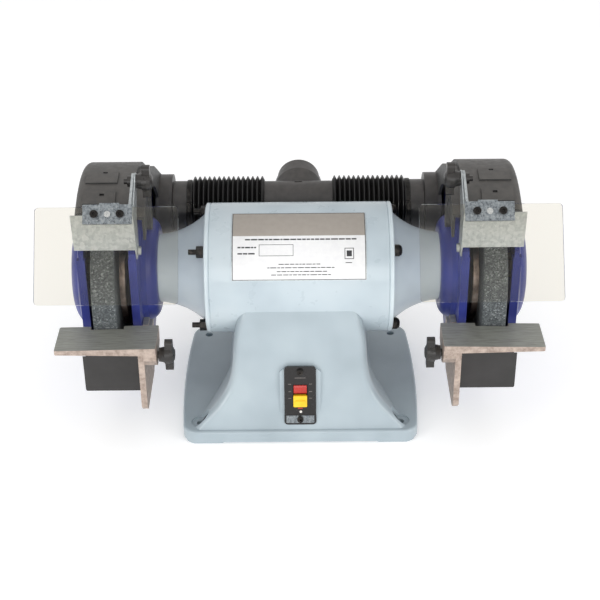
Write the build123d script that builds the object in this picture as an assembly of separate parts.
from build123d import *
from math import cos, pi, radians, sin
import os

# A bench grinder: motor in the middle, a guarded wheel at each end, dust duct behind.
# +X right, +Y back, +Z up. Origin: centre of the bench bolt pattern, on the bench.
# The right-hand side is modelled with z = 0 on the spindle, mirrored, then lifted.

# driving dimensions
AXIS_Z = 165.0          # spindle height over the bench
WHEEL_R = 101.6         # 8 in wheel
WHEEL_W = 25.4
WHEEL_X = 207.2         # wheel centre plane
ARBOR_R = 7.94          # 5/8 in arbor
MOTOR_R = 72.9
MOTOR_HALF = 98.0
BELL_END = 155.5
BASE_W = 271.0
BASE_D = 218.0
BASE_BOW = 5.5          # how far the plate's sides bow outwards
BOLT_X = 112.0
BOLT_Y = 89.0
BOLT_HOLE_R = 4.5
BOLT_SPOT_R = 10.5      # room for a front bolt's head beside the apron
GUARD_R = 109.0
GUARD_IN = 171.0        # motor side face of the guard
GUARD_OUT = 231.0       # outer face of the guard
HOOD_R = GUARD_R + 10.3
HOOD_OUT = 236.0
DUCT_Y = 105.0
DUCT_Z = 26.0
HOSE_R = 32.0
REST_W = 106.0
REST_D = 45.5
SHIELD_W = 146.3
SHIELD_H = 100.0
SHIELD_TILT = 36.0

# derived places
WHEEL_IN = WHEEL_X - WHEEL_W / 2
WHEEL_FACE = WHEEL_X + WHEEL_W / 2
FIT = 0.06              # radial clearance of a turning fit
GAP = 0.3               # clearance between pieces that move past each other
SHELL_IN = MOTOR_R - 5.4        # inside of the motor shell, and the stator in it
THROUGH_R = MOTOR_R - 6.9       # pitch radius of the motor bolts
FLARE_R = MOTOR_R - 10.4        # bell radius beside its flange
NECK_R = 38.0                   # bell radius at the guard
BELL_FACE = MOTOR_HALF + 5.0    # face of the bell flange, under the bolt heads
CHORD_Y = -86.0         # straight front edge of the guard
SCOOP_IN = 176.0
SCOOP_OUT = 236.0
SCOOP_WALL = 2.5
COVER_STEP_R = 86.0     # where the guard cover's dome meets its flat rim
REST_IN = 150.5         # inner end of the tool rest
REST_STUD = (-125.0, -33.0)
BRACKET_IN = 164.2
BRACKET_OUT = 170.7
CHEEK_IN = 169.2
CHEEK_OUT = 170.7
PIVOT = (-50.0, 134.5)
ARM_IN = 171.0
ARM_OUT = 173.6
CLAMP_AT = (-98.0, 121.0)
SWITCH = Plane(origin=(0, -95.0, 56), x_dir=(1, 0, 0),
               z_dir=(0, -cos(radians(11)), sin(radians(11))))
COVER_SCREW_R = GUARD_R - 1.8
GUARD_WALL_R = GUARD_R - 4.0   # inside of the guard rim
COVER_SCREW_ANGLES = (75, 135, 255)


def tube_x(x0, x1, outer, inner=0.0, y=0.0, z=0.0):
    """Round bar or ring between two x planes."""
    bar = Cylinder(outer, x1 - x0)
    if inner:
        bar = bar - Cylinder(inner, x1 - x0 + 2)
    return Pos((x0 + x1) / 2, y, z) * Rot(0, 90, 0) * bar


def turned(points):
    """Solid of revolution about the spindle from (x, radius) points."""
    return revolve(make_face(Polyline(*points, close=True)), Axis.X, 360)


def slab(points, x0, x1):
    """Outline in (y, z) extruded between two x planes."""
    face = Plane.YZ * make_face(Polyline(*points, close=True))
    return Pos(x0, 0, 0) * extrude(face, x1 - x0)


def box(x0, x1, y0, y1, z0, z1):
    return Pos((x0 + x1) / 2, (y0 + y1) / 2, (z0 + z1) / 2) * Box(x1 - x0, y1 - y0, z1 - z0)


def polar(radius, degrees):
    """(y, z) at an angle above the front horizontal."""
    return (-radius * cos(radians(degrees)), radius * sin(radians(degrees)))


def slot_x(x0, x1, y0, y1, z, radius):
    """Slot cutter along y, drilled in x."""
    ends = tube_x(x0, x1, radius, 0, y0, z) + tube_x(x0, x1, radius, 0, y1, z)
    return ends + box(x0, x1, y0, y1, z - radius, z + radius)


# ---- base -----------------------------------------------------------------

# height, front half width, front reach, side half width, back reach
FLARE = [(10, 123, 106, 88, 99), (20, 117, 103.5, 82, 96), (32, 105, 100, 78, 91), (48, 90, 95, 75, 85),
         (70, 78.5, 89, 72.5, 79), (95, 74.5, 84, 70.5, 74), (AXIS_Z - 38, 71, MOTOR_R + 5.1, 68, 68),
         (AXIS_Z - 14, 64, MOTOR_R - 1.9, 61, 63)]


def pedestal(inset=0.0, top=200.0):
    """Column with a concave apron that runs out to the front corners."""
    fronts = []
    backs = []
    for z, wide, front, side, back in FLARE:
        if z > top:
            break
        apron = [(-wide + inset, -front + inset), (wide - inset, -front + inset),
                 (side - inset, 12 - inset), (-side + inset, 12 - inset)]
        column = [(-side + inset, -50 + inset), (side - inset, -50 + inset),
                  (side - inset, back - inset), (-side + inset, back - inset)]
        for points, faces in ((apron, fronts), (column, backs)):
            face = make_face(Polyline(*points, close=True))
            faces.append(Pos(0, 0, z) * fillet(face.vertices(), 8.0))
    return loft(fronts) + loft(backs)


def bolt_places(z):
    return [(sx * BOLT_X, sy * BOLT_Y, z) for sx in (-1, 1) for sy in (-1, 1)]


def base_outline(inset, radius):
    """Plate outline: straight front and back, sides bowed outwards by BASE_BOW."""
    half_w = BASE_W / 2 - BASE_BOW - inset
    half_d = BASE_D / 2 - inset
    right = ThreePointArc((half_w, -half_d), (half_w + BASE_BOW, 0), (half_w, half_d))
    left = ThreePointArc((-half_w, half_d), (-half_w - BASE_BOW, 0), (-half_w, -half_d))
    front = Line((-half_w, -half_d), (half_w, -half_d))
    back = Line((half_w, half_d), (-half_w, half_d))
    face = make_face([front, right, back, left])
    return fillet(face.vertices(), radius)


def base_casting():
    plate = Pos(0, 0, 9) * extrude(base_outline(0, 18), 7, both=True)
    plate = fillet(plate.edges().group_by(Axis.Z)[-1], 3.0)
    body = plate + pedestal()
    body = body - tube_x(-110, 110, MOTOR_R, 0, 0, AXIS_Z)
    seat = extrude(SWITCH * RectangleRounded(45, 62, 5), -9)
    body = body + seat - extrude(SWITCH * RectangleRounded(36, 71, 4.5), 15)
    pocket = extrude(base_outline(7, 12), 4.1)
    hollow = extrude(base_outline(12, 9), 10)
    pads = Sketch() + [Pos(x * 0.94, y * 1.055) * RectangleRounded(44, 28, 6)
                       for x, y, z in bolt_places(0)]
    bosses = extrude(pads, 12)
    body = body - (pocket + hollow - bosses)
    body = body - (pedestal(6.0, 80) & box(-200, 200, -200, 200, 0, 80))
    body = body + (bosses & extrude(base_outline(0.5, 17), 12))
    for x, y, z in bolt_places(10):
        body = body - Pos(x, y, z) * Cylinder(BOLT_HOLE_R, 40)
        if y < 0:
            body = body - Pos(x, y, 39.5) * Cylinder(BOLT_SPOT_R, 50)
    body = body - extrude(SWITCH * Rectangle(24.6, 42.6), 40, both=True)
    for v in (29.2, -28.0):
        body = body - extrude(SWITCH * Pos(0, v) * Circle(1.5), 10, both=True)
    gland_seat = Pos(-40, 99.2, 40) * Rot(90, 0, 0) * Cylinder(11.4, 20)
    return body - gland_seat - Pos(-40, 88, 40) * Rot(90, 0, 0) * Cylinder(8.0, 60)


def base_cover():
    outline = base_outline(7.5, 11.5)
    outline = outline - [Pos(x * 0.94, y * 1.055) * RectangleRounded(45, 29, 6)
                         for x, y, z in bolt_places(0)]
    return Pos(0, 0, 2.5) * extrude(outline, 1.6)


def cord_gland():
    """Strain relief in the back wall of the pedestal."""
    flange = Pos(0, 0, 1.5) * Cylinder(11, 3)
    shank = Pos(0, 0, -6) * Cylinder(7.9, 12)
    sleeve = Pos(0, 0, 13) * Cone(7.0, 4.8, 20)
    body = flange + shank + sleeve - Cylinder(3.6, 80)
    for i in range(4):
        body = body - (Pos(0, 0, 7 + i * 4) * (Cylinder(9, 1.4) - Cylinder(4.9 - 0.1 * i, 2)))
    return Pos(-40, 89.2, 40) * Rot(-90, 0, 0) * body


def start_capacitor():
    can = fillet((Cylinder(18, 74)).edges(), 2.0)
    tabs = Pos(7, 0, 39) * Box(1, 6, 6) + Pos(-7, 0, 39) * Box(1, 6, 6)
    return Pos(0, 25, 22.1) * Rot(0, 90, 0) * (can + tabs)


def capacitor_strap():
    hoop = tube_x(-8, 8, 19.4, 18.02, 25, 22.1) & box(-8, 8, 0, 50, 14, 60)
    feet = box(-8, 8, 43.0, 54.4, 4.1, 5.5) + box(-8, 8, -4.4, 7.0, 4.1, 5.5)
    legs = box(-8, 8, 43.0, 44.4, 4.1, 20) + box(-8, 8, 5.6, 7.0, 4.1, 20)
    return hoop + feet + legs


# ---- switch ---------------------------------------------------------------

def on_switch(x, v, n, wide, tall, deep, radius=0.0):
    """Block on the switch plane: centre x, v, from height n, wide, tall and deep."""
    outline = RectangleRounded(wide, tall, radius) if radius else Rectangle(wide, tall)
    return extrude(SWITCH * Pos(x, v, n) * outline, deep)


def switch_plate():
    plate = on_switch(0, 0, 0, 35, 70, 2.4, 4)
    plate = plate - on_switch(0, -28.2, 1.6, 31.4, 9.4, 2)
    plate = plate - on_switch(0, 0, -1, 16.2, 27.0, 6)
    for v in (29.2, -28.0):
        plate = plate - extrude(SWITCH * Pos(0, v) * Circle(2.1), 8, both=True)
    return plate


def switch_strip():
    strip = on_switch(0, -28.2, 1.6, 31.0, 9.0, 1.4)
    return strip - extrude(SWITCH * Pos(0, -28.0) * Circle(2.1), 8, both=True)


def switch_body():
    shell = on_switch(0, 0, -32, 24, 42, 32)
    shell = shell - on_switch(0, 8.0, -6, 16.2, 11.2, 9)
    shell = shell - on_switch(0, -5.5, -2, 16.2, 15.0, 9)
    for x in (-4, 4):
        shell = shell - on_switch(x, -5.5, -14, 2.6, 6.6, 13)
        shell = shell + on_switch(x, 10, -40, 0.8, 6, 9)
    return shell


def switch_rocker():
    block = on_switch(0, 8.0, -1.8, 14.6, 9.6, 5.4)
    place = SWITCH * Pos(0, 8.0, -7.6)
    return block & (place * Rot(0, 90, 0) * Cylinder(11.5, 30))


def switch_key():
    block = on_switch(0, -5.6, 0.3, 15.2, 13.4, 5.2, 1.2)
    grip = on_switch(0, -5.6, 5.5, 11.0, 2.4, 1.6)
    prongs = on_switch(-4, -5.5, -12, 1.8, 5.6, 13) + on_switch(4, -5.5, -12, 1.8, 5.6, 13)
    return block + grip + prongs


def switch_screws():
    group = Part()
    for v, n in ((29.2, 2.4), (-28.0, 3.0)):
        head = Pos(0, v, n) * Circle(3.6)
        screw = extrude(SWITCH * head, 2.2) + extrude(SWITCH * Pos(0, v, n) * Circle(1.5), -10)
        socket = extrude(SWITCH * Pos(0, v, n + 0.9) * RegularPolygon(1.7, 6), 3)
        group = group + (screw - socket)
    return group


# ---- motor ----------------------------------------------------------------

THROUGH_ANGLES = (45, 135, 225, 315)
THROUGH_BOLT_R = 3.0
THROUGH_HOLE_R = 3.4
BEARING_R = 20.0
BEARING_BORE_R = 8.5
BEARING_IN = 130.0
BEARING_OUT = 142.0
HUB_SCREW_R = 2.5


def hub_screw_places():
    """The three screws that hold a guard to its end bell."""
    return [polar(28, angle) for angle in (30, 150, 270)]


def through_holes(radius, x0=-150, x1=150):
    holes = Part()
    for angle in THROUGH_ANGLES:
        y, z = polar(THROUGH_R, angle)
        holes = holes + tube_x(x0, x1, radius, 0, y, z)
    return holes


def motor_shell():
    shell = turned([(-MOTOR_HALF, SHELL_IN), (-MOTOR_HALF, MOTOR_R - 1), (1 - MOTOR_HALF, MOTOR_R),
                    (MOTOR_HALF - 1, MOTOR_R), (MOTOR_HALF, MOTOR_R - 1), (MOTOR_HALF, SHELL_IN)])
    return shell - through_holes(THROUGH_HOLE_R)


def end_bell():
    """Flanged cap that flares down to the bearing neck."""
    waist = BELL_FACE + 18
    waist_r = NECK_R + 0.433 * (FLARE_R - NECK_R)
    spigot_in = MOTOR_HALF - 8
    flare = ThreePointArc((BELL_FACE, FLARE_R), (waist, waist_r), (BELL_END, NECK_R))
    rim = Polyline((BELL_END, NECK_R), (BELL_END, 13.8), (BEARING_OUT, 13.8), (BEARING_OUT, BEARING_R),
                   (BEARING_IN - 2, BEARING_R), (BEARING_IN - 2, NECK_R - 1), (waist - 4, waist_r - 5.6),
                   (BELL_FACE + 3, FLARE_R - 10.5), (MOTOR_HALF, FLARE_R - 2), (spigot_in, FLARE_R - 1),
                   (spigot_in, SHELL_IN - 0.1), (MOTOR_HALF, SHELL_IN - 0.1), (MOTOR_HALF, MOTOR_R - 1),
                   (MOTOR_HALF + 1, MOTOR_R), (BELL_FACE - 1, MOTOR_R), (BELL_FACE, MOTOR_R - 1),
                   (BELL_FACE, FLARE_R))
    bell = revolve(make_face([flare, *rim.edges()]), Axis.X, 360) - through_holes(THROUGH_HOLE_R)
    seats = through_holes(7.4, BELL_FACE, BELL_FACE + 27)
    for y, z in hub_screw_places():
        seats = seats + tube_x(BEARING_OUT + 2, BELL_END + 15, HUB_SCREW_R, 0, y, z)
    return bell - seats


def through_bolts():
    """Long motor bolts: rounded heads on the right, thread ends on the left."""
    group = Part()
    for angle in THROUGH_ANGLES:
        y, z = polar(THROUGH_R, angle)
        head = turned([(0, 0), (0, 6.5), (5, 6.5), (7.5, 5), (8.5, 2.5), (8.5, 0)])
        head = Pos(BELL_FACE, 0, 0) * (head - Pos(7.4, 0, 0) * Box(4, 9, 1.4))
        group = group + Pos(0, y, z) * (head + tube_x(-BELL_FACE - 16.5, BELL_FACE, THROUGH_BOLT_R))
    return group


def through_bolt_nuts():
    group = Part()
    for angle in THROUGH_ANGLES:
        y, z = polar(THROUGH_R, angle)
        nut = Plane.YZ * RegularPolygon(6.4, 6)
        nut = extrude(nut, 6.5) + tube_x(6.5, 8, 6.4)
        group = group + Pos(-BELL_FACE - 8, y, z) * (nut - tube_x(-5, 20, THROUGH_BOLT_R))
    return group


def stator_core():
    core = tube_x(-45, 45, SHELL_IN, 38.0)
    for k in range(24):
        y, z = polar(45.5, k * 15)
        core = core - Pos(0, y, z) * Rot(-k * 15, 0, 0) * Box(100, 13, 4.6)
    return core - through_holes(THROUGH_HOLE_R)


def stator_windings():
    outer = SHELL_IN - 7.5
    coil = turned([(45, 42), (45, outer - 4), (50, outer), (64, outer), (70, outer - 4), (70, 44), (66, 42)])
    return coil + mirror(coil, Plane.YZ)


def shaft_bearings():
    inside = BEARING_IN + 0.8
    outside = BEARING_OUT - 0.8
    bearing = turned([(BEARING_IN, BEARING_BORE_R), (BEARING_IN, BEARING_R - 0.8), (inside, BEARING_R),
                      (outside, BEARING_R), (BEARING_OUT, BEARING_R - 0.8), (BEARING_OUT, BEARING_BORE_R)])
    bearing = bearing - tube_x(inside - 2, inside, 16.5, 12.5) - tube_x(outside, outside + 2, 16.5, 12.5)
    return bearing + mirror(bearing, Plane.YZ)


SHAFT_R = 12.0          # shaft inside the rotor


def rotor_core():
    core = tube_x(-46, 46, 37.5, SHAFT_R)
    rings = tube_x(-54, -46, 34, 22) + tube_x(46, 54, 34, 22)
    for k in range(12):
        y, z = polar(30, k * 30)
        rings = rings + Pos(0, y, z) * Rot(-k * 30, 0, 0) * Box(120, 6, 1.6)
    return core + rings


def arbor_shaft():
    seat_r = BEARING_BORE_R - FIT
    shoulder = BEARING_IN - 4
    step = BEARING_OUT + 0.2
    end = WHEEL_FACE + 20.1
    half = [(0, SHAFT_R), (shoulder, SHAFT_R), (shoulder, seat_r), (step, seat_r), (step, ARBOR_R),
            (end - 1.5, ARBOR_R), (end, ARBOR_R - 1.5), (end, 0), (0, 0)]
    right = turned(half)
    return right + mirror(right, Plane.YZ)


def nameplate():
    """Data plate bent round the front of the motor shell."""
    sheet = tube_x(-72.5, 72.5, MOTOR_R + 0.7, MOTOR_R)
    lower = polar(120, 18.7)
    upper = polar(120, 83.2)
    return sheet & slab([(0, 0), lower, polar(160, 50), upper], -90, 90)


# ---- wheels ---------------------------------------------------------------

def wheel():
    edge = 1.2
    bore = ARBOR_R + FIT
    return turned([(WHEEL_IN, bore), (WHEEL_IN, WHEEL_R - edge), (WHEEL_IN + edge, WHEEL_R),
                   (WHEEL_FACE - edge, WHEEL_R), (WHEEL_FACE, WHEEL_R - edge), (WHEEL_FACE, bore)])


def wheel_flanges():
    """Long-hubbed inner flange and a dished outer flange on each end."""
    bore = ARBOR_R + FIT
    inner = turned([(142.5, bore), (142.5, 13), (182, 13), (186.5, 24), (187, 60), (188.5, 62),
                    (WHEEL_IN, 62), (WHEEL_IN, 50), (WHEEL_IN - 1.5, 48), (WHEEL_IN - 1.5, 20),
                    (WHEEL_IN, 18), (WHEEL_IN, bore)])
    outer = turned([(WHEEL_FACE, bore), (WHEEL_FACE, 18), (WHEEL_FACE + 1.5, 20), (WHEEL_FACE + 1.5, 36),
                    (WHEEL_FACE, 38), (WHEEL_FACE, 48), (WHEEL_FACE + 3, 48), (WHEEL_FACE + 6, 30),
                    (WHEEL_FACE + 6, bore)])
    pair = inner + outer
    return pair + mirror(pair, Plane.YZ)


def arbor_nuts():
    start = WHEEL_FACE + 6
    nut = Pos(start, 0, 0) * extrude(Plane.YZ * RegularPolygon(13.6, 6), 12) - tube_x(200, 250, ARBOR_R)
    return nut + mirror(nut, Plane.YZ)


# ---- guards ---------------------------------------------------------------

def guard_cuts(x0, x1):
    """Work opening, chip opening above the scoop, and the window to the hood."""
    front = box(x0 - 50, x1 + 50, -200, CHORD_Y, -200, 200)
    chips = box(x0, x1, -GUARD_R - 11, -36, -GUARD_R - 11, -20)
    window = box(x0 + 4, x1 - 4, 60, GUARD_R + 21, -15, 62)
    rim_end = box(max(x0, 178.5), min(x1, 226), -GUARD_R - 11, CHORD_Y + 10, 40, GUARD_R)
    return front + chips + window + rim_end


def cover_screw_places():
    return [polar(COVER_SCREW_R, angle) for angle in COVER_SCREW_ANGLES]


def guard_shell():
    """Dished inner half, bolted to the end bell."""
    bowl = ThreePointArc((BELL_END, 45), (158.6, 52.5), (166, 57.5))
    rest = Polyline((166, 57.5), (GUARD_IN, 66), (GUARD_IN, GUARD_R), (200, GUARD_R),
                    (200, GUARD_WALL_R), (176, GUARD_WALL_R),
                    (176, 69), (170, 60), (162.5, 56), (160.5, 47), (160.5, 14.8), (BELL_END, 14.8),
                    (BELL_END, 45))
    shell = revolve(make_face([bowl, *rest.edges()]), Axis.X, 360)
    for y, z in cover_screw_places():
        shell = shell + tube_x(176, 226.5, 3.5, 0, y, z)
    shell = shell - guard_cuts(176, 204) + box(GUARD_IN, 179.5, CHORD_Y, -80, -58, 60)
    holes = tube_x(164, 180, 2.2, 0, -76, 66) + tube_x(164, 180, 3.0, 0, -70, -52)
    holes = holes + tube_x(164, 180, 3.0, 0, -70, -72)
    for y, z in cover_screw_places():
        holes = holes + tube_x(190, 230, 1.6, 0, y, z)
    for y, z in hub_screw_places():
        holes = holes + tube_x(150, 170, HUB_SCREW_R, 0, y, z)
    return shell - holes


def guard_cover():
    """Domed outer half over the wheel nut."""
    dome = ThreePointArc((249, 43), (246.6, 52), (240, 61))
    rest = Polyline((240, 61), (235, 78), (GUARD_OUT, 86), (GUARD_OUT, GUARD_R), (200, GUARD_R),
                    (200, GUARD_WALL_R),
                    (226.5, GUARD_WALL_R), (226.5, 84), (230.7, 76), (235.6, 59.5), (241, 52), (244.5, 42),
                    (244.5, 0), (249, 0), (249, 43))
    cover = revolve(make_face([dome, *rest.edges()]), Axis.X, 360)
    for y, z in cover_screw_places():
        cover = cover - tube_x(190, 226.5, 3.6, 0, y, z) - tube_x(220, 240, 1.6, 0, y, z)
    return cover - guard_cuts(196, 226.5) + box(225, 233.6, CHORD_Y, -80, -58, 60)


def guard_screws():
    """Cover screws, hub screws and the deflector screw, both sides."""
    group = Part()
    for y, z in cover_screw_places():
        screw = tube_x(204, GUARD_OUT, 1.6, 0, y, z) + tube_x(GUARD_OUT, 232.9, 3.3, 0, y, z)
        group = group + (screw - Pos(232.9, y, z) * Box(1.6, 5, 0.9))
    for y, z in hub_screw_places():
        screw = tube_x(146, 160.5, HUB_SCREW_R, 0, y, z) + tube_x(160.5, 164, 4.2, 0, y, z)
        group = group + (screw - tube_x(162, 166, 2.0, 0, y, z))
    clamp = tube_x(168.9, 178, 2.2, 0, -76, 66) + tube_x(166.2, 168.9, 4.6, 0, -76, 66)
    group = group + (clamp - tube_x(165, 167.4, 2.0, 0, -76, 66))
    return group + mirror(group, Plane.YZ)


def hood_outline(inset):
    """Hood side view: guard circle joined to the outlet, open in front and below."""
    big = Circle(HOOD_R - inset)
    small = Pos(DUCT_Y, DUCT_Z) * Circle(40 - inset)
    hull = make_hull((big.edges() + small.edges()))
    keep = make_face(Polyline((-60, 55), (-60, 150), (170, 150), (170, -28), (60, -28), close=True))
    return hull & keep


def hood_slab(inset, x0, x1):
    return Pos(x0, 0, 0) * extrude(Plane.YZ * hood_outline(inset), x1 - x0)


def dust_hood():
    """Moulded hood over the guard, with a stepped inner side and the duct outlet."""
    edge = 7.0
    body = hood_slab(0, 175, HOOD_OUT)
    rim = body.edges().filter_by(lambda e: abs(e.center().X - HOOD_OUT) < 0.01 and e.length > 60)
    body = fillet(rim, edge)
    body = body + hood_slab(4.8, 162, 176)
    body = body - hood_slab(3.8, 178, 233) - hood_slab(8.0, 165, 179)
    body = body - (tube_x(232, 240, 92))
    outlet = tube_x(152, 166, 33, 0, DUCT_Y, DUCT_Z)
    inner_side = tube_x(161, 166, 92) - tube_x(160, 167, 35, 0, DUCT_Y, DUCT_Z)
    body = body - inner_side + outlet - tube_x(150, 170, 27, 0, DUCT_Y, DUCT_Z)
    for low, high in ((64.5, 73), (79.5, 90)):
        pad = tube_x(193.5, 227.5, HOOD_R + 1.9, HOOD_R - 1)
        body = body + (pad & slab([(0, 0), polar(150, low), polar(150, high)], 190, 230))
    for angle in (70.4, 88.8):
        y, z = polar(HOOD_R + 1.9, angle)
        body = body - Pos(208, y, z) * Rot(-angle, 0, 0) * Box(5, 5, 3.4)
    lug_y, lug_z, lug_r = -14, 66, 8
    lug = tube_x(160, 166.6, lug_r, 0, lug_y, lug_z)
    lug = lug + box(160, 166.6, lug_y - lug_r, lug_y + lug_r, lug_z, 96)
    body = body + (lug - tube_x(150, 172, 2.6, 0, lug_y, lug_z))
    for angle in (70, 120, 175):
        y, z = polar(100, angle)
        body = body + tube_x(GUARD_OUT, 233.5, 5, 0, y, z)
    return body


# ---- duct -----------------------------------------------------------------

PORT_COLLAR_R = 28.3
PORT_R = 25.4           # takes a 2 in vacuum hose
HOSE_END = 131.0        # where the hose stops on its collar
CUFF_R = 30.0           # collar cuff, set low on the duct axis
CUFF_DROP = 3.5


def duct_turned(points):
    return Pos(0, DUCT_Y, DUCT_Z) * turned(points)


def duct_collars():
    collar = duct_turned([(HOSE_END - 10, 23.2), (HOSE_END - 10, 24.9), (HOSE_END, 24.9), (HOSE_END, 26.4),
                          (146, 26.4), (147, 35), (162, 35), (162, 33.1), (151, 33.1), (151, 23.2)])
    cuff = tube_x(HOSE_END, 148, CUFF_R, 0, DUCT_Y, DUCT_Z - CUFF_DROP)
    collar = collar + (cuff - tube_x(HOSE_END - 1, 160, 26.0, 0, DUCT_Y, DUCT_Z))
    return collar + mirror(collar, Plane.YZ)


def duct_hose():
    """Corrugated hose with a plain cuff at the outer end."""
    start = 39.7
    end = HOSE_END - 6.5
    ridges = 15
    pitch = (end - start) / ridges
    points = [(start, 25)]
    for k in range(ridges):
        points.append((start + k * pitch, 27.2))
        points.append((start + (k + 0.42) * pitch, HOSE_R))
        points.append((start + (k + 0.58) * pitch, HOSE_R))
    points += [(end, 27.2), (HOSE_END, 27.2), (HOSE_END, 25)]
    return duct_turned(points)


def hose_clamps():
    band = tube_x(HOSE_END - 5.5, HOSE_END - 1, 28.3, 27.2, DUCT_Y, DUCT_Z)
    y, z = DUCT_Y - 30.4 * cos(radians(20)), DUCT_Z + 30.4 * sin(radians(20))
    band = band + Pos(HOSE_END - 3.25, y, z) * Rot(-20, 0, 0) * Box(4.5, 5.4, 11)
    return band + mirror(band, Plane.YZ)


def dust_manifold():
    """T-piece between the hoses, with the vacuum port at the back."""
    run = tube_x(-39.7, 39.7, 25.9, 0, DUCT_Y, DUCT_Z) + tube_x(-49.7, 49.7, 24.9, 0, DUCT_Y, DUCT_Z)
    branch = Pos(0, 0, 24) * Cone(21.6, PORT_COLLAR_R, 24) + Pos(0, 0, 40) * Cylinder(PORT_COLLAR_R, 8)
    branch = branch + Pos(0, 0, 54) * Cylinder(PORT_R, 20)
    body = run + Pos(0, DUCT_Y, DUCT_Z) * Rot(-90, 0, 0) * branch
    body = body - tube_x(-60, 60, 22.4, 0, DUCT_Y, DUCT_Z) - Pos(0, DUCT_Y + 4, DUCT_Z + 26) * Box(9, 5, 3)
    return body - Pos(0, DUCT_Y, DUCT_Z) * Rot(-90, 0, 0) * Pos(0, 0, 50) * Cylinder(20.0, 100)


# ---- scoop and deflector --------------------------------------------------

def dust_scoop():
    """Chute under the front of the wheel: open above, closed in front, floor sloped to the back."""
    back = -36.4
    front = CHORD_Y - 10
    lip = -54.0
    side = -66.0
    low = GAP + 3.6 - GUARD_R
    inside = SCOOP_WALL
    outer = slab([(back, side), (CHORD_Y + 6, side), (front, lip), (front, low + 5), (front + 26, low),
                  (back, low)], SCOOP_IN, SCOOP_OUT)
    corners = outer.edges().filter_by(lambda e: abs(e.center().X - SCOOP_OUT) < 0.01 and e.center().Z < low + 4)
    outer = fillet(corners, 2.2)
    room = slab([(back + 6, side + 20), (front + inside, side + 20), (front + inside, low + 5 + inside),
                 (front + 27, low + inside), (back + 6, low + inside)], SCOOP_IN + inside, SCOOP_OUT - inside)
    return outer - room - tube_x(170, 240, COVER_STEP_R - 2)


def spark_deflector():
    """Bent sheet in front of the wheel, with a cheek that carries the shield pivot."""
    py, pz = PIVOT
    face = slab([(-89.5, 74), (-88, 74), (-91.8, 117), (-93.3, 117)], CHEEK_IN, 234.2)
    cheek = slab([(-89.5, 74), (-93.3, 117), (py - 9, pz + 4), (py, pz), (py + 8, pz - 4), (-60, 113), (-67, 100),
                  (-67, 60), (-84, 60)], CHEEK_IN, CHEEK_OUT)
    cheek = cheek + tube_x(CHEEK_IN, CHEEK_OUT, 9, 0, py, pz)
    cuts = tube_x(160, 180, 3.0 + FIT, 0, py, pz) + slot_x(160, 180, -81.2, -75.8, 66, 2.6)
    return face + cheek - cuts


# ---- eye shield -----------------------------------------------------------

def in_shield(t, n):
    """(y, z) at distance t down the shield and n out of its plane."""
    a = radians(SHIELD_TILT)
    return (CLAMP_AT[0] - t * sin(a) - n * cos(a), CLAMP_AT[1] - t * cos(a) + n * sin(a))


def shield_block(x0, x1, t0, t1, n0, n1):
    return slab([in_shield(t0, n0), in_shield(t1, n0), in_shield(t1, n1), in_shield(t0, n1)], x0, x1)


def shield_bar(x, t, radius, n0, n1):
    """Round bar through the shield."""
    a = radians(SHIELD_TILT)
    y, z = in_shield(t, n0)
    place = Plane(origin=(x, y, z), x_dir=(1, 0, 0), z_dir=(0, -cos(a), sin(a)))
    return extrude(place * Circle(radius), n1 - n0)


CLAMP_X = 194.5
CLAMP_HALF = 25.2
CLAMP_SCREWS = (CLAMP_X - 13.2, CLAMP_X + 13.2)


def clamp_holes(part, radius):
    for x in (*CLAMP_SCREWS, CLAMP_X):
        part = part - shield_bar(x, 0, radius, -12, 12)
    return part


def shield_arm():
    """Flat arm from the pivot, bent square behind the shield."""
    py, pz = PIVOT
    strip = slab([in_shield(3, -1.5), in_shield(-10, -1.5), (py - 3, pz + 8), (py + 3, pz - 8)], ARM_IN, ARM_OUT)
    strip = strip + tube_x(ARM_IN, ARM_OUT, 8.5, 0, py, pz) - tube_x(160, 180, 3.0 + FIT, 0, py, pz)
    back = shield_block(ARM_IN, CLAMP_X + CLAMP_HALF, -10, 10, -4.1, -1.5)
    return clamp_holes(strip + back, 2.0)


def clamp_plate():
    plate = shield_block(CLAMP_X - CLAMP_HALF, CLAMP_X + CLAMP_HALF, -10, 10, 1.5, 3.4)
    lip = shield_block(CLAMP_X - 12, CLAMP_X + 8, -11.6, -10, -1.5, 3.4)
    return clamp_holes(plate + lip, 2.0)


def clamp_screws():
    group = Part()
    for x in CLAMP_SCREWS:
        screw = shield_bar(x, 0, 2.0, -5.4, 3.4) + shield_bar(x, 0, 4.1, 3.4, 7.4)
        group = group + (screw - shield_bar(x, 0, 1.9, 5.2, 9))
    return group + shield_bar(CLAMP_X, 0, 2.0, -4.8, 3.4) + shield_bar(CLAMP_X, 0, 3.2, 3.4, 4.6)


def eye_shield():
    x0 = 122.7
    pane = shield_block(x0, x0 + SHIELD_W, -7.7, SHIELD_H - 7.7, -1.5, 1.5)
    corners = pane.edges().filter_by(lambda e: abs(e.length - 3.0) < 0.01)
    return clamp_holes(fillet(corners, 4.0), 2.0)


# ---- wing knobs -----------------------------------------------------------

WING = 18.0             # half the span of a knob's wings


def wing_knob(face, stud_end, stud_r, y, z, lean):
    """Two-winged knob whose stud runs outwards from the hub face."""
    hub = turned([(face - 6, 0), (face - 6, 8.6), (face - 1, 7.6), (face, 7.6), (face, 0)])
    crown = turned([(face - 17, 0), (face - 16.5, 5), (face - 14.5, 8.6), (face - 11, 10), (face - 6, 10),
                    (face - 6, 0)])
    wings = box(face - 14.5, face - 6.2, -5, 5, -WING, WING)
    wings = fillet(wings.edges().filter_by(Axis.X), 3.5)
    stud = tube_x(face - 4, stud_end, stud_r)
    return Pos(0, y, z) * Rot(lean, 0, 0) * (hub + crown + wings + stud)


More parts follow.
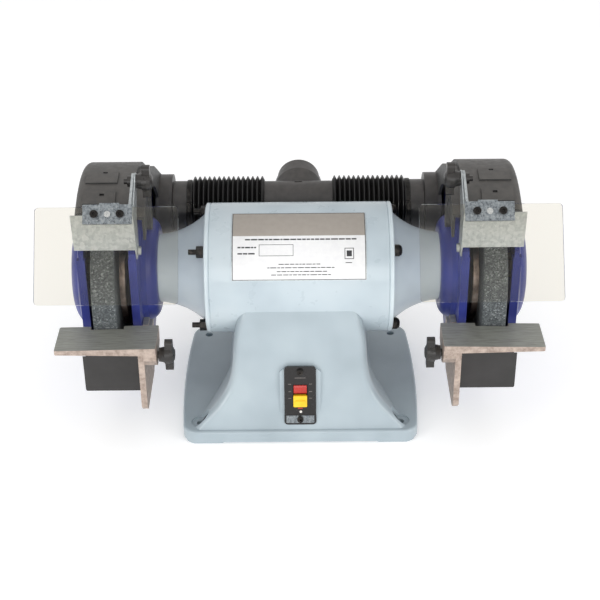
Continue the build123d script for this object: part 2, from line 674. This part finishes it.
def shield_knob():
    knob = wing_knob(CHEEK_IN - GAP, 182, 3.0, PIVOT[0], PIVOT[1], 0)
    return knob + tube_x(ARM_OUT + GAP, 178.2, 5.8, 0, *PIVOT)


def rest_knob():
    return wing_knob(REST_IN - GAP - 1.5, BRACKET_OUT + 1.5, 4.0, REST_STUD[0], REST_STUD[1], 0)


# ---- tool rest ------------------------------------------------------------

def rest_bracket():
    """Plate that slides on the guard and carries the rest stud."""
    sy, sz = REST_STUD
    plate = slab([(sy - 8, sz), (sy - 8, -96), (-126, -103), (-56, -102), (-50, -96), (-50, -46), (-62, -40),
                  (-62, -26), (-78, -26), (-80, -36), (-112, -33), (sy, sz + 8)], BRACKET_IN, BRACKET_OUT)
    plate = plate + tube_x(BRACKET_IN, BRACKET_OUT, 8, 0, sy, sz)
    plate = plate + slab([(-64, -40), (-64, -27), (-78, -27), (-78, -40)], BRACKET_IN - 4, BRACKET_OUT)
    cuts = tube_x(150, 180, 4.0 + FIT, 0, sy, sz)
    cuts = cuts + slot_x(150, 180, -70, -58, -52, 3.4) + slot_x(150, 180, -70, -58, -72, 3.4)
    return plate - cuts


def rest_bolts():
    """Bolts that hold both brackets to the guards."""
    group = Part()
    for z in (-52, -72):
        bolt = tube_x(160.5, 175.8, 3.0, 0, -70, z)
        head = Pos(BRACKET_IN - GAP - 4.6, -70, z) * extrude(Plane.YZ * RegularPolygon(6.2, 6), 4.6)
        group = group + bolt + head
    return group + mirror(group, Plane.YZ)


def tool_rest():
    """Machined table with a wheel notch and a lug for the stud."""
    outer_end = REST_IN + REST_W
    back = -97.0
    front = back - REST_D
    outline = Polyline((REST_IN, -14.1), (outer_end, -15.9), (outer_end, -21.2), (REST_IN, -23.4), close=True)
    table = Pos(0, back, 0) * extrude(Plane.XZ * make_face(outline), REST_D)
    table = fillet(table.edges().filter_by(Axis.Z), 1.5)
    table = table - box(WHEEL_IN - 7, WHEEL_FACE + 3, back - 6, back + 1, -40, 0)
    sy, sz = REST_STUD
    lug = slab([(front, -20), (back, -20), (back - 1.5, -32), (sy + 8, sz - 9), (sy, sz - 11), (sy - 9, sz - 7),
                (front + 1, -30)], REST_IN, BRACKET_IN - GAP)
    lug = lug + tube_x(REST_IN, BRACKET_IN - GAP, 11, 0, sy, sz)
    lug = lug - box(140, 180, -200, front, -60, 0) - box(140, 180, -200, -90, -14.6, 0)
    return table + lug - tube_x(140, 180, 4.0 + FIT, 0, sy, sz)


# ---- output ---------------------------------------------------------------

ON_AXIS = Pos(0, 0, AXIS_Z)


def write(name, part):
    export_step(part, f"parts/{name}.step")


def main():
    os.makedirs("parts", exist_ok=True)
    for piece in (base_casting, base_cover, cord_gland, start_capacitor, capacitor_strap, switch_plate,
                  switch_strip, switch_body, switch_rocker, switch_key, switch_screws):
        write(piece.__name__, piece())
    for piece in (motor_shell, through_bolts, through_bolt_nuts, stator_core, stator_windings, shaft_bearings,
                  rotor_core, arbor_shaft, nameplate, wheel_flanges, arbor_nuts, guard_screws, duct_collars,
                  hose_clamps, dust_manifold, rest_bolts):
        write(piece.__name__, ON_AXIS * piece())
    for piece in (end_bell, wheel, guard_shell, guard_cover, dust_hood, duct_hose, dust_scoop, spark_deflector,
                  shield_arm, clamp_plate, clamp_screws, eye_shield, shield_knob, rest_bracket, tool_rest,
                  rest_knob):
        part = piece()
        write("right_" + piece.__name__, ON_AXIS * part)
        write("left_" + piece.__name__, ON_AXIS * mirror(part, Plane.YZ))


main()
